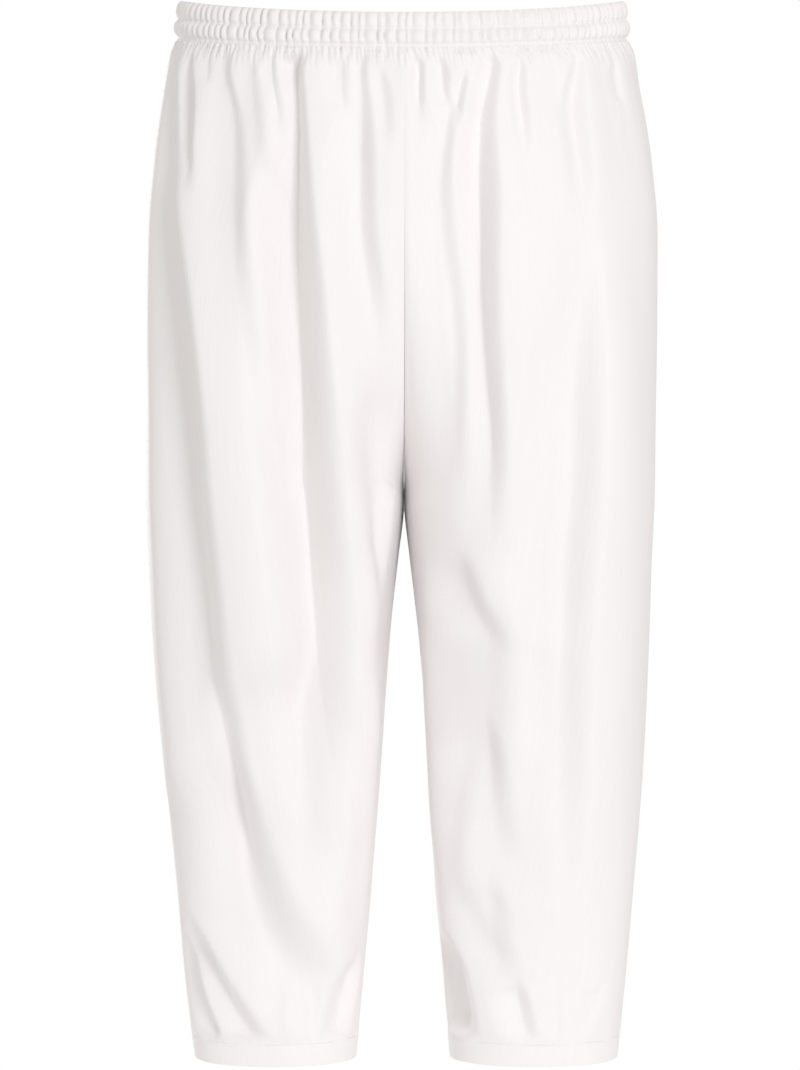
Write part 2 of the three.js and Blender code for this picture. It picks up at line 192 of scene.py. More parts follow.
# How folds and ridges are shaped
SIDE_SEAM_FADE, CENTRE_FADE, HEM_FADE = 24 * MM, 10 * MM, 12 * MM  # they flatten over these at the edges
FOLD_OPENS = 19 * MM  # over this length, for a fold that starts at the waistband
LOWER_FOLD_OPENS = 0.28  # the same for one that starts on the leg, as a share of its run
FOLD_CLOSES = 0.66  # from this share of its run to its end
FOLD_EASES = 0.25  # how much depth a fold loses from its top to its end, as a share
NARROW_TOP, WIDE_FROM = 0.42, 0.35  # share of a fold's width at its top, and of its run where it is whole
NARROW_IS_SHALLOW = 1.3  # the power of the width that a fold's depth follows
GENTLE_SIDE = 2.1  # width of the cloth that sinks into a fold, as a share of the slope that rises from it
CRISP_EDGE = 1.6  # the power of a crisp fold's slope
SHOULDER = 0.25  # how far the cloth beside a fold rises, as a share of its depth
SHOULDER_PLACE, SHOULDER_REACH = 0.6, 2.2  # in widths of the fold's slope
SHOULDER_FALL = 2.6  # how steeply its sides fall
SHOULDER_FADE = 80 * MM  # towards the centre seam and the inseam
RIDGE_ENDS, RIDGE_FALL = 1.2, 1.6  # how gently a ridge starts and ends, and how steeply its sides fall

# The waistband's tunnels: where each starts and ends, as shares of its height, and how far it stands out
TUNNELS = [(0, 0.44, 2.6 * MM), (0.44, 0.88, 3.3 * MM)]
TUNNEL_ROUNDING = 0.62
GROOVE = 1.1 * MM  # depth of the stitched groove under each tunnel
GROOVE_PLACE, GROOVE_WIDTH = 0.04, 0.05  # under its tunnel, as shares of the waistband's height
# How the waistband's outside and inside round in to its top edge, and over what height
TURNED_EDGE, TURNED_INNER_EDGE, TURNED_EDGE_REACH = 1.2 * MM, 1.0 * MM, 1.2 * MM
LEAST_CASING = 0.8 * MM  # thickness of the waistband where a crease is deepest

# Gathers: how many a quarter of the waist has, how unevenly they are spaced all round and row by row, their
# depths as shares, and the depth of a whole one on the waistband, plain and for each millimetre of the tunnel
GATHERS_PER_QUARTER = 34
GATHER_JITTER, ROW_JITTER = 0.27, 0.14
GATHER_DEPTHS = (0.55, 1.25)
GATHER_ROWS = 4
GATHER_SHARPENS = 0.17  # how much sharper the creases get from one row to the next
GATHER_DEPTH, GATHER_DEPTH_ON_TUNNEL = 1.9 * MM, 0.85
RANDOM_SEED = 11

# Ripples under the waistband: how many lie across a panel, the length over which they fade, and their depth
RIPPLES = [(17, 26 * MM, 1.1 * MM), (10, 60 * MM, 1.2 * MM), (6, 150 * MM, 1.3 * MM)]
RIPPLES_START, RIPPLES_WHOLE, RIPPLES_LEAN_OVER = -2 * MM, 9 * MM, 150 * MM  # below the waistband
RIPPLE_SEED = 31

# The finely gathered strip right under the waistband: its reach, how far it stands out, the depths of its
# gathers and of the finer creases between them, and the soft puff of cloth under it
GATHERED_STRIP = 15 * MM
STRIP_LIFT, STRIP_GATHER, STRIP_CREASE = 1.2 * MM, 2.6 * MM, 2 * MM
STRIP_LEAN = 9 * MM  # how far down the finer creases have moved across by one radian
STRIP_PUFF, STRIP_PUFF_PLACE, STRIP_PUFF_REACH = 1.7 * MM, 8 * MM, 6 * MM

# Seams: the stitched line, the pressed edges beside it, and the centre seam's upper and lower side
SEAM_LINE, SEAM_LINE_WIDTH = 0.12 * MM, 0.9 * MM
SEAM_EDGE, SEAM_EDGE_PLACE, SEAM_EDGE_WIDTH = 0.2 * MM, 4 * MM, 3 * MM
UPPER_SIDE, UPPER_SIDE_WIDTH = 0.25 * MM, 3 * MM
LOWER_SIDE, LOWER_SIDE_WIDTH = 0.3 * MM, 6 * MM
CENTRE_SEAM_EASES = 120 * MM  # above the crotch

# The cloth's slow swells: their heights, their lengths by the radian, and where they fade
WIDE_SWELL, NARROW_SWELL, LEVEL_SWELL = 0.8 * MM, 0.35 * MM, 0.5 * MM
WIDE_LENGTH, NARROW_LENGTH, LEVEL_LENGTH_DOWN, LEVEL_LENGTH_ACROSS = 31 * MM, 13.5 * MM, 96 * MM, 70 * MM
SWELL_SEAM_FADE, SWELL_WAIST_FADE, SWELL_HEM_FADE = 14 * MM, 90 * MM, 40 * MM
SWELL_PHASES = {"front": 0.0, "back": 2.1, "left": 0.0, "right": 1.3}

# Puckers at the hem: their heights, how far up the leg each kind reaches, and their lengths by the radian,
# which change slowly along the hem
PUCKERS_END = 60 * MM
FINE_PUCKER, FINE_PUCKER_REACH, FINE_PUCKER_LENGTH, FINE_PUCKER_CHANGE = 0.16 * MM, 5 * MM, 2.1 * MM, 17 * MM
WIDE_PUCKER, WIDE_PUCKER_REACH, WIDE_PUCKER_LENGTH, WIDE_PUCKER_CHANGE = 0.5 * MM, 20 * MM, 6.5 * MM, 41 * MM
HEM_DIP, HEM_DIP_REACH = 0.3 * MM, 3 * MM
PUCKER_PHASES = {"front": 0.0, "back": 1.0, "left": 0.0, "right": 0.5}

# The ankle bands: how far they stand out, their slow wave, and how their two edges round in
ANKLE_LIFT, ANKLE_WAVE, ANKLE_WAVE_LENGTH, ANKLE_WAVE_CHANGE = 0.3 * MM, 0.22 * MM, 9 * MM, 37 * MM
ANKLE_EDGE, ANKLE_INNER_EDGE = 0.35 * MM, 0.5 * MM
ANKLE_TOP_EDGE_REACH, ANKLE_HEM_REACH = 0.06, 0.05  # as shares of the band's height
ANKLE_STITCH_ROW = 2  # of the band's grid

# Grids
PANEL_ROWS, PANEL_COLUMNS = 150, 260
TOP_ROWS, TOP_REACH = 46, 60 * MM  # how many of a panel's rows lie in the gathered strip at its top
TOP_CROWDING, HEM_CROWDING = 1.35, 1.3  # a panel's rows lie closer at its top and its hem
RING_STEPS = 400
DIRECTION_REACH = 0.8 * MM  # to each side of a point, where its outward direction is measured
BAND_GRID_ROWS, BAND_COLUMNS_PER_GATHER = 40, 7
BAND_QUARTER = 0.28  # length of a quarter of the waistband's cloth, for its texture
ANKLE_GRID_ROWS, ANKLE_GRID_COLUMNS = 18, 150

# Drops and lengths, in millimetres: a panel's columns spread evenly over this length of a half ring, and the
# rest of it is left to those nearest the inseam
SPREAD_ROWS = [(37, 283), (146, 317), (300, 336), (452, 352), (600, 346), (809, 284), (970, 220)]
SPREAD_DROPS, SPREAD_LENGTHS = np.array(SPREAD_ROWS).T * MM
INNER_CROWDING = 6

# Thread stitches, and the rings that one is made of: the place along it as a share of its length, and how far
# it rises and how thick it is, in radii of the thread
STITCH_PITCH, STITCH_LENGTH, THREAD_RADIUS = 3.0 * MM, 2.3 * MM, 0.22 * MM
STITCH_SIDES = 6
STITCH_RINGS = [(-0.5, -0.35, 0.5), (-0.3, 0.3, 0.9), (0, 0.6, 1), (0.3, 0.3, 0.9), (0.5, -0.35, 0.5)]

# The quarters of the waist in turn: leg, half, and whether it runs from the side seam to the centre seam
WAIST_TURN = [
    ("left", "front", True),
    ("right", "front", False),
    ("right", "back", True),
    ("left", "back", False),
]

# The colours of the cloth and the thread, the cloth's darker tone as a share, and its texture: repeats in
# a metre across and down the cloth, and heights
LEG_WHITE, BAND_WHITE, ANKLE_WHITE = (0.93, 0.899, 0.9), (0.925, 0.894, 0.895), (0.935, 0.904, 0.905)
THREAD_SHADE, THREAD_WHITE = (0.88, 0.87, 0.86), (0.95, 0.94, 0.93)
SHADE = 0.965
SLUB_SCALE, WEFT_SCALE, CLOUD_SCALE = (520, 13, 1), (30, 700, 1), (16, 5, 1)
SLUB_HEIGHT, WEFT_HEIGHT = 0.22 * MM, 0.08 * MM
THREAD_SCALE = 900

# The white room, its floor and its three lights, in metres and watts
ROOM_LIGHT, FLOOR_GLOW, FLOOR_REACH, FLOOR_LEVEL = 0.68, 0.1, 0.65, -1.08
FLOOR_GREY = (0.9, 0.9, 0.9)
ROOM_COLOUR, LIGHT_COLOUR = (1, 0.983, 0.957), (0.97, 0.985, 1)
KEY_PLACE, KEY_SIZE, KEY_POWER = (1.2, -3.0, 0.2), (0.8, 1.5), 38
FILL_PLACE, FILL_SIZE, FILL_POWER = (-2.9, -0.3, -0.45), (1.0, 1.8), 5
BACK_PLACE, BACK_SIZE, BACK_POWER = (-1.5, 2.8, 0.1), (0.8, 1.5), 30
GARMENT_MIDDLE = (0, 0, -0.45)

rng = np.random.default_rng(RANDOM_SEED)


# Camera, light and floor

def make_camera():
    data = bpy.data.cameras.new("camera")
    data.sensor_fit = "VERTICAL"
    data.sensor_height = SENSOR_HEIGHT
    data.lens = SENSOR_HEIGHT * CAMERA_DISTANCE / (PHOTO_SIZE[1] * PIXEL)
    camera = bpy.data.objects.new("camera", data)
    camera.location = (CAMERA_X, -CAMERA_DISTANCE, CAMERA_Z)
    camera.rotation_euler = (math.radians(90), 0, 0)
    bpy.context.scene.collection.objects.link(camera)
    bpy.context.scene.camera = camera


def area_light(name, place, target, size, power):
    data = bpy.data.lights.new(name, "AREA")
    data.shape = "RECTANGLE"
    data.size, data.size_y = size
    data.energy = power
    data.color = LIGHT_COLOUR
    light = bpy.data.objects.new(name, data)
    light.location = place
    light.rotation_euler = (Vector(target) - Vector(place)).to_track_quat("-Z", "Y").to_euler()
    bpy.context.scene.collection.objects.link(light)


def make_studio():
    scene = bpy.context.scene
    scene.view_settings.view_transform = "Standard"
    world = bpy.data.worlds.new("white room")
    scene.world = world
    world.use_nodes = True
    nodes, links = world.node_tree.nodes, world.node_tree.links
    room = nodes["Background"]
    room.inputs["Color"].default_value = (*ROOM_COLOUR, 1)
    room.inputs["Strength"].default_value = ROOM_LIGHT
    backdrop = nodes.new("ShaderNodeBackground")
    backdrop.inputs["Color"].default_value = (1, 1, 1, 1)
    backdrop.inputs["Strength"].default_value = 1.0
    path = nodes.new("ShaderNodeLightPath")
    either = nodes.new("ShaderNodeMixShader")
    links.new(path.outputs["Is Camera Ray"], either.inputs["Fac"])
    links.new(room.outputs["Background"], either.inputs[1])
    links.new(backdrop.outputs["Background"], either.inputs[2])
    links.new(either.outputs["Shader"], nodes["World Output"].inputs["Surface"])
    area_light("key from the right", KEY_PLACE, GARMENT_MIDDLE, KEY_SIZE, KEY_POWER)
    area_light("fill from the left", FILL_PLACE, GARMENT_MIDDLE, FILL_SIZE, FILL_POWER)
    area_light("light on the back", BACK_PLACE, GARMENT_MIDDLE, BACK_SIZE, BACK_POWER)
    floor_mesh = bpy.data.meshes.new("floor")
    corners = [(x * FLOOR_REACH, y * FLOOR_REACH, 0) for x, y in ((-1, -1), (1, -1), (1, 1), (-1, 1))]
    floor_mesh.from_pydata(corners, [], [(0, 1, 2, 3)])
    floor = bpy.data.objects.new("floor", floor_mesh)
    floor.location = (0, 0, FLOOR_LEVEL)
    scene.collection.objects.link(floor)
    floor_material = bpy.data.materials.new("pale floor")
    floor_material.use_nodes = True
    shader = floor_material.node_tree.nodes["Principled BSDF"]
    shader.inputs["Base Color"].default_value = (*FLOOR_GREY, 1)
    shader.inputs["Roughness"].default_value = 0.9
    shader.inputs["Emission Color"].default_value = (1, 1, 1, 1)
    shader.inputs["Emission Strength"].default_value = FLOOR_GLOW
    floor_mesh.materials.append(floor_material)


# The plain form

def section_value(name, drop):
    """A smooth curve through one column of the sections, which doesn't overshoot between its rows."""
    xs, ys = SECTIONS["drop"], SECTIONS[name]
    rises = np.diff(ys) / np.diff(xs)
    before, after = rises[:-1], rises[1:]
    total = np.where(before + after == 0, 1, before + after)
    between = np.where(before * after > 0, 2 * before * after / total, 0)
    slopes = np.concatenate([rises[:1], between, rises[-1:]])
    i = int(np.clip(np.searchsorted(xs, drop) - 1, 0, len(xs) - 2))
    step = xs[i + 1] - xs[i]
    t = min(max((drop - xs[i]) / step, 0), 1)
    ease = t * t * (3 - 2 * t)
    leave = t * (1 - t) ** 2 * step * slopes[i]
    arrive = t * t * (t - 1) * step * slopes[i + 1]
    return float(ys[i] * (1 - ease) + ys[i + 1] * ease + leave + arrive)


def half_ring(leg, half, drop):
    """Points of half a section from the side seam to the centre seam or inseam, and their distances along."""
    outer = section_value(leg, drop)
    inner = max(SEAM_GAP / 2, section_value(leg + "Inner", drop))
    depth = section_value(half, drop)
    power = 2 / section_value("square", drop)
    together = 1 - min(max((drop - LEGS_START) / (CROTCH - LEGS_START), 0), 1)
    far = inner - outer * together ** PARTING_POWER
    middle, half_width = (outer + far) / 2, (outer - far) / 2
    cut = (inner - middle) / half_width
    last = math.acos(math.copysign(min(1, abs(cut) ** (1 / power)), cut))
    angle = np.linspace(0, last, RING_STEPS)
    away = np.abs(np.sin(angle)) ** power
    x = middle + half_width * np.sign(np.cos(angle)) * np.abs(np.cos(angle)) ** power
    sideways, backwards = (1 if leg == "left" else -1), (1 if half == "back" else -1)
    y = section_value("seamY", drop) + backwards * (depth * away + SEAM_GAP / 2)
    dip = (FRONT_DIP if half == "front" else -BACK_RISE) * max(0, 1 - drop / DIP_FADES_AT)
    points = np.stack([sideways * x, y, BAND_TOP - drop - dip * away ** DIP_POWER], 1)
    along = np.concatenate([[0], np.cumsum(np.hypot(np.diff(points[:, 0]), np.diff(points[:, 1])))])
    return points, along


def ring_at(leg, half, drop, distance):
    """Places and outward directions at distances along a half ring."""
    points, along = half_ring(leg, half, drop)
    places = np.stack([np.interp(distance, along, points[:, k]) for k in range(3)], 1)
    ahead = np.minimum(distance + DIRECTION_REACH, along[-1])
    behind = np.maximum(distance - DIRECTION_REACH, 0)
    dx = np.interp(ahead, along, points[:, 0]) - np.interp(behind, along, points[:, 0])
    dy = np.interp(ahead, along, points[:, 1]) - np.interp(behind, along, points[:, 1])
    turn = (1 if leg == "left" else -1) * (1 if half == "back" else -1)
    out = np.stack([turn * dy, -turn * dx, np.zeros_like(dx)], 1)
    out /= np.linalg.norm(out, axis=1)[:, None]
    return places, out


def smoothstep(low, high, value):
    """0 at low and 1 at high, with a smooth rise between them."""
    t = np.clip((value - low) / (high - low), 0, 1)
    return t * t * (3 - 2 * t)


# Folds and gathers

def fold_line(fold, drop):
    """Where a fold runs, as a smooth curve through its stations, which lie at equal steps down it."""
    start, end = fold.start * MM, fold.end * MM
    stations = np.array(fold.stations) * MM
    spans = len(stations) - 1
    t = np.clip(spans * (drop - start) / (end - start), 0, spans)
    i = np.minimum(t.astype(int), spans - 1)
    f = t - i
    p = np.concatenate([[2 * stations[0] - stations[1]], stations, [2 * stations[-1] - stations[-2]]])
    a, b, c, d = p[i], p[i + 1], p[i + 2], p[i + 3]
    square, cube = 2 * a - 5 * b + 4 * c - d, 3 * b - a - 3 * c + d
    return 0.5 * (2 * b + (c - a) * f + square * f ** 2 + cube * f ** 3)


def fold_profile(across, soft):
    """A fold's cross-section, 1 at its bottom: the cloth sinks gently to it, then rises in a short slope from
    0 to 1, which starts sharply in a crisp fold and gently in a soft one."""
    gentle = np.cos(np.pi / 2 * np.clip(-across / GENTLE_SIDE, 0, 1)) ** 2
    crisp = np.clip(1 - across, 0, 1) ** CRISP_EDGE
    rounded = np.cos(np.pi / 2 * np.clip(across, 0, 1)) ** 2
    return np.where(across < 0, gentle, crisp + (rounded - crisp) * soft)


def folds_push(name, drop, distance, total):
    """How far a panel's folds and ridges move its points outwards, less than 0 where they sink."""
    push = np.zeros_like(distance)
    across_picture = 1 if name.endswith("right") else -1
    for row in FOLDS[name]:
        fold = Fold(*row)
        start, end, width, depth = fold.start * MM, fold.end * MM, fold.width * MM, fold.depth * MM
        down = np.clip((drop - start) / (end - start), 0, 1)
        wide = width * (NARROW_TOP + (1 - NARROW_TOP) * smoothstep(0, WIDE_FROM, down))
        offset = (distance - fold_line(fold, drop)) * across_picture / wide
        opens = FOLD_OPENS if start < BAND_HEIGHT + TOP_REACH else LOWER_FOLD_OPENS * (end - start)
        strength = smoothstep(start, start + opens, drop) * smoothstep(1, FOLD_CLOSES, down)
        strength = strength * (1 - FOLD_EASES * down) * (wide / width) ** NARROW_IS_SHALLOW
        shoulder = np.exp(-SHOULDER_FALL * ((offset - SHOULDER_PLACE) / SHOULDER_REACH) ** 2)
        shoulder *= smoothstep(SHOULDER_FADE / 4, SHOULDER_FADE, total - distance)
        push += depth * strength * (SHOULDER * shoulder - fold_profile(offset + 0.5, fold.soft))
    for row in RIDGES[name]:
        ridge = Ridge(*row)
        start, end, reach, height = ridge.start * MM, ridge.end * MM, ridge.reach * MM, ridge.height * MM
        down = np.clip((drop - start) / (end - start), 0, 1)
        offset = (distance - fold_line(ridge, drop)) / reach
        push += height * np.sin(np.pi * down) ** RIDGE_ENDS * np.exp(-RIDGE_FALL * offset ** 2)
    side = smoothstep(0, SIDE_SEAM_FADE, distance)
    centre = smoothstep(0, CENTRE_FADE, total - distance)
    hem = smoothstep(0, HEM_FADE, LEG_END - drop)
    return push * side * centre * hem


def crease_positions(jitter):
    """Where the waist's gathers lie, as a count round the whole waist, unevenly spaced."""
    positions = EVEN_CREASES + rng.uniform(-jitter, jitter, len(EVEN_CREASES))
    positions[0], positions[-1] = EVEN_CREASES[0], EVEN_CREASES[-1]
    return positions


EVEN_CREASES = np.arange(4 * GATHERS_PER_QUARTER + 1)
SHARED_CREASES = crease_positions(GATHER_JITTER)
ROW_CREASES = [SHARED_CREASES + crease_positions(ROW_JITTER) - EVEN_CREASES for _ in range(GATHER_ROWS)]
GATHER_STRENGTH = rng.uniform(*GATHER_DEPTHS, (GATHER_ROWS, len(EVEN_CREASES) + 1))


def gather_wave(turn, row):
    """Height of the gathers at shares of a turn round the waist, counted in quarters: 0 at a puff's top and
    -1 in a crease. row is which line of the waistband is meant, from its top edge down, and may lie between
    two."""
    low = int(min(row, GATHER_ROWS - 2))
    mix = row - low
    creases = ROW_CREASES[low] * (1 - mix) + ROW_CREASES[low + 1] * mix
    phase = np.interp(turn * GATHERS_PER_QUARTER, creases, np.arange(len(creases)))
    number = np.floor(phase).astype(int)
    strength = GATHER_STRENGTH[low] * (1 - mix) + GATHER_STRENGTH[low + 1] * mix
    part = phase - number
    depth = strength[number] * (1 - part) + strength[number + 1] * part
    return -depth * (1 - np.abs(np.sin(np.pi * part)) ** (1 - GATHER_SHARPENS * row))


def quarter_number(leg, half):
    """Which quarter of the waist a panel hangs from."""
    return [(a, b) for a, b, _ in WAIST_TURN].index((leg, half))


def waist_turn_of(leg, half, share):
    """Shares of a half ring from its side seam, as quarters of a turn round the waist."""
    quarter = quarter_number(leg, half)
    _, _, from_side = WAIST_TURN[quarter]
    return quarter + (share if from_side else 1 - share)


def small_ripples(leg, half, drop, share):
    """The fine gathers under the waistband, which join into wider ripples and die out down the hips."""
    below = drop - BAND_HEIGHT
    turn = waist_turn_of(leg, half, share)
    strip = np.exp(-(below / GATHERED_STRIP) ** 2)
    uneven = 2.5 * np.sin(turn * 23) + below / STRIP_LEAN
    finer = np.abs(np.sin(2 * np.pi * turn * GATHERS_PER_QUARTER + uneven))
    gathers = STRIP_GATHER * gather_wave(turn, GATHER_ROWS - 1)
    fine = strip * (STRIP_LIFT + gathers - STRIP_CREASE * (1 - finer ** 0.7))
    fine += STRIP_PUFF * np.exp(-((below - STRIP_PUFF_PLACE) / STRIP_PUFF_REACH) ** 2)
    own = np.random.default_rng(RIPPLE_SEED + quarter_number(leg, half))
    ripples = np.zeros_like(share)
    for count, fades, size in RIPPLES:
        for k in range(count):
            centre = (k + own.uniform(0.15, 0.85)) / count
            reach = own.uniform(0.22, 0.4) / count
            strong = own.uniform(0.3, 1.2)
            lean = own.uniform(-0.02, 0.05)
            offset = (share - centre + lean * np.clip(below / RIPPLES_LEAN_OVER, 0, 1)) / reach
            grows = smoothstep(RIPPLES_START, RIPPLES_WHOLE, below)
            ripples -= size * strong * grows * np.exp(-below / (fades * own.uniform(0.6, 1.3)) - offset ** 2)
    return fine + ripples


def seam_push(distance, total):
    """The cloth turns in at every seam, between two soft pressed edges."""
    push = np.zeros_like(distance)
    for away in (distance, total - distance):
        push -= SEAM_LINE * np.exp(-(away / SEAM_LINE_WIDTH) ** 2)
        push += SEAM_EDGE * np.exp(-((away - SEAM_EDGE_PLACE) / SEAM_EDGE_WIDTH) ** 2)
    return push


def centre_seam_step(leg, drop, away):
    """At the centre seam the wearer's right side is turned over the left one, which dips beside it."""
    above = smoothstep(CROTCH, CROTCH - CENTRE_SEAM_EASES, drop)
    if leg == "right":
        return above * UPPER_SIDE * np.exp(-(away / UPPER_SIDE_WIDTH) ** 2)
    return -above * LOWER_SIDE * np.exp(-away / LOWER_SIDE_WIDTH)


def cloth_sway(leg, half, drop, distance):
    """Slow, shallow swells that no plain form has."""
    lean = SWELL_PHASES[half] + SWELL_PHASES[leg]
    down = drop / SIDE_LENGTH
    wide = np.sin(distance / WIDE_LENGTH + 2.2 * np.sin(3.1 * down + lean) + lean)
    narrow = np.sin(distance / NARROW_LENGTH + 3.4 * np.sin(4.3 * down + 2 * lean) + 4 * lean)
    level = np.sin(drop / LEVEL_LENGTH_DOWN + distance / LEVEL_LENGTH_ACROSS + lean)
    comes_and_goes = 0.4 + 0.6 * np.sin(2 * np.pi * down) ** 2
    return WIDE_SWELL * wide + NARROW_SWELL * narrow * comes_and_goes + LEVEL_SWELL * level


# Meshes

def column_distance(total, drop, shares):
    """Where a panel's columns lie along a half ring, from shares of 0 to 1."""
    plain = np.interp(drop, SPREAD_DROPS, SPREAD_LENGTHS)
    return plain * shares + (total - plain) * shares ** INNER_CROWDING


def shell_mesh(name, outer, inner, uv, round_):
    """A closed shell between two grids of points of the same size, smooth but for its cut edges. uv gives
    each grid point's place on the cloth, and round_ says that the last column joins the first."""
    rows, columns = outer.shape[:2]
    count = rows * columns
    grid = np.arange(count).reshape(rows, columns)
    if round_:
        grid = np.hstack([grid, grid[:, :1]])
    a, b, c, d = grid[:-1, :-1], grid[1:, :-1], grid[1:, 1:], grid[:-1, 1:]
    skin = np.stack([a, b, c, d], -1).reshape(-1, 4)
    faces = [skin, skin[:, ::-1] + count]
    top, bottom = grid[0], grid[-1]
    faces.append(np.stack([top[:-1], top[1:], top[1:] + count, top[:-1] + count], -1))
    faces.append(np.stack([bottom[1:], bottom[:-1], bottom[:-1] + count, bottom[1:] + count], -1))
    if not round_:
        first, final = grid[:, 0], grid[:, -1]
        faces.append(np.stack([first[1:], first[:-1], first[:-1] + count, first[1:] + count], -1))
        faces.append(np.stack([final[:-1], final[1:], final[1:] + count, final[:-1] + count], -1))
    faces = np.vstack(faces)
    points = np.vstack([outer.reshape(-1, 3), inner.reshape(-1, 3)])
    quads = points[faces]
    volume = np.einsum("ij,ij->i", quads[:, 0], np.cross(quads[:, 1], quads[:, 2])).sum()
    volume += np.einsum("ij,ij->i", quads[:, 0], np.cross(quads[:, 2], quads[:, 3])).sum()
    if volume < 0:
        faces = faces[:, ::-1]
    mesh = bpy.data.meshes.new(name)
    mesh.from_pydata(points.tolist(), [], faces.tolist())
    places = np.vstack([uv.reshape(-1, 2)] * 2)[faces.reshape(-1)]
    layer = mesh.uv_layers.new(name="cloth")
    layer.data.foreach_set("uv", places.reshape(-1).astype(np.float32))
    mesh.shade_smooth()
    rim_lines = [top, bottom] if round_ else [top, bottom, grid[:, 0], grid[:, -1]]
    rims = np.zeros((2 * count, len(rim_lines)), bool)
    for which, line in enumerate(rim_lines):
        rims[line, which] = True
        rims[line + count, which] = True
    ends = np.empty(2 * len(mesh.edges), np.int32)
    mesh.edges.foreach_get("vertices", ends)
    ends = ends.reshape(-1, 2)
    one_skin = (ends[:, 0] < count) == (ends[:, 1] < count)
    mesh.edges.foreach_set("use_edge_sharp", one_skin & (rims[ends[:, 0]] & rims[ends[:, 1]]).any(1))
    return mesh


def add_piece(name, mesh, material):
    piece = bpy.data.objects.new(name, mesh)
    mesh.materials.append(material)
    bpy.context.scene.collection.objects.link(piece)
    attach(piece, "root")
    return piece


def panel_drops():
    """The drops of a panel's rows, which lie closer under the waistband and at the hem."""
    top = BAND_HEIGHT + PANEL_GAP
    upper = top + TOP_REACH * np.linspace(0, 1, TOP_ROWS) ** TOP_CROWDING
    left_to_go = np.linspace(1, 0, PANEL_ROWS - TOP_ROWS + 1)[1:] ** HEM_CROWDING
    lower = LEG_END - (LEG_END - upper[-1]) * left_to_go
    return np.concatenate([upper, lower])


def panel_mesh(leg, half):
    name = f"{half}_{leg}"
    shares = np.linspace(0, 1, PANEL_COLUMNS)
    outer, inner, uv = [], [], []
    for drop in panel_drops():
        total = half_ring(leg, half, drop)[1][-1]
        distance = column_distance(total, drop, shares)
        places, out = ring_at(leg, half, drop, distance)
        down = np.full_like(distance, drop)
        push = folds_push(name, down, distance, total) + seam_push(distance, total)
        push += centre_seam_step(leg, down, total - distance)
        push += small_ripples(leg, half, down, distance / total)
        swell = smoothstep(0, SWELL_SEAM_FADE, distance) * smoothstep(0, SWELL_SEAM_FADE, total - distance)
        swell *= smoothstep(0, SWELL_WAIST_FADE, drop - BAND_HEIGHT)
        swell *= smoothstep(0, SWELL_HEM_FADE, LEG_END - drop)
        push += swell * cloth_sway(leg, half, down, distance)
        push += hem_puckers(leg, half, drop, distance)
        row = places + out * push[:, None]
        within = row - out * CLOTH
        outer.append(row)
        inner.append(within)
        uv.append(np.stack([distance, down], 1))
    outer, inner = np.array(outer), np.array(inner)
    # No fold crosses the middle, where the other leg's cloth starts
    sideways = 1 if leg == "left" else -1
    for skin in (outer, inner):
        skin[..., 0] = sideways * np.maximum(skin[..., 0] * sideways, SEAM_GAP / 2)
    return shell_mesh(name, outer, inner, np.array(uv), False)


def hem_puckers(leg, half, drop, distance):
    """Small dips where the leg is stitched to its ankle band."""
    above = LEG_END - drop
    if above > PUCKERS_END:
        return np.zeros_like(distance)
    lean = PUCKER_PHASES[half] + PUCKER_PHASES[leg]
    fine = np.sin(distance / FINE_PUCKER_LENGTH + 1.5 * np.sin(distance / FINE_PUCKER_CHANGE + lean))
    wide = np.sin(distance / WIDE_PUCKER_LENGTH + 2 * np.sin(distance / WIDE_PUCKER_CHANGE + lean))
    push = FINE_PUCKER * fine * np.exp(-above / FINE_PUCKER_REACH)
    push += WIDE_PUCKER * wide * np.exp(-above / WIDE_PUCKER_REACH)
    return push - HEM_DIP * np.exp(-above / HEM_DIP_REACH)


def band_profile(share):
    """How far the waistband stands out of its plain form at a share of its height: two puffed tunnels, each
    with a stitch line under it."""
    puff = 0
    for top, bottom, height in TUNNELS:
        inside = min(max((share - top) / (bottom - top), 0), 1)
        puff += height * math.sin(math.pi * inside) ** TUNNEL_ROUNDING
        puff -= GROOVE * math.exp(-((share - bottom - GROOVE_PLACE) / GROOVE_WIDTH) ** 2)
    return puff


def waistband_grids():
    """Points of the waistband's outer and inner skins in rows from its top edge down, and their places on the
    cloth."""
    columns = GATHERS_PER_QUARTER * BAND_COLUMNS_PER_GATHER
    shares = np.arange(columns) / columns
    outer, inner, uv = [], [], []
    for share in np.linspace(0, 1, BAND_GRID_ROWS):
        drop = share * BAND_HEIGHT
        row_out, row_in, row_uv = [], [], []
        for quarter, (leg, half, from_side) in enumerate(WAIST_TURN):
            total = half_ring(leg, half, drop)[1][-1]
            along = shares if from_side else 1 - shares
            places, out = ring_at(leg, half, drop, along * total)
            turn = quarter + shares
            wave = gather_wave(turn, (GATHER_ROWS - 1) * share)
            lift = band_profile(share)
            depth = GATHER_DEPTH + GATHER_DEPTH_ON_TUNNEL * lift
            edge = math.exp(-drop / TURNED_EDGE_REACH)
            within = CASING - TURNED_INNER_EDGE * edge
            raised = np.maximum(lift + depth * wave - TURNED_EDGE * edge, LEAST_CASING - within)
            row_out.append(places + out * raised[:, None])
            row_in.append(places - out * within)
            row_uv.append(np.stack([turn * BAND_QUARTER, np.full_like(turn, drop)], 1))
        outer.append(np.vstack(row_out))
        inner.append(np.vstack(row_in))
        uv.append(np.vstack(row_uv))
    return np.array(outer), np.array(inner), np.array(uv)


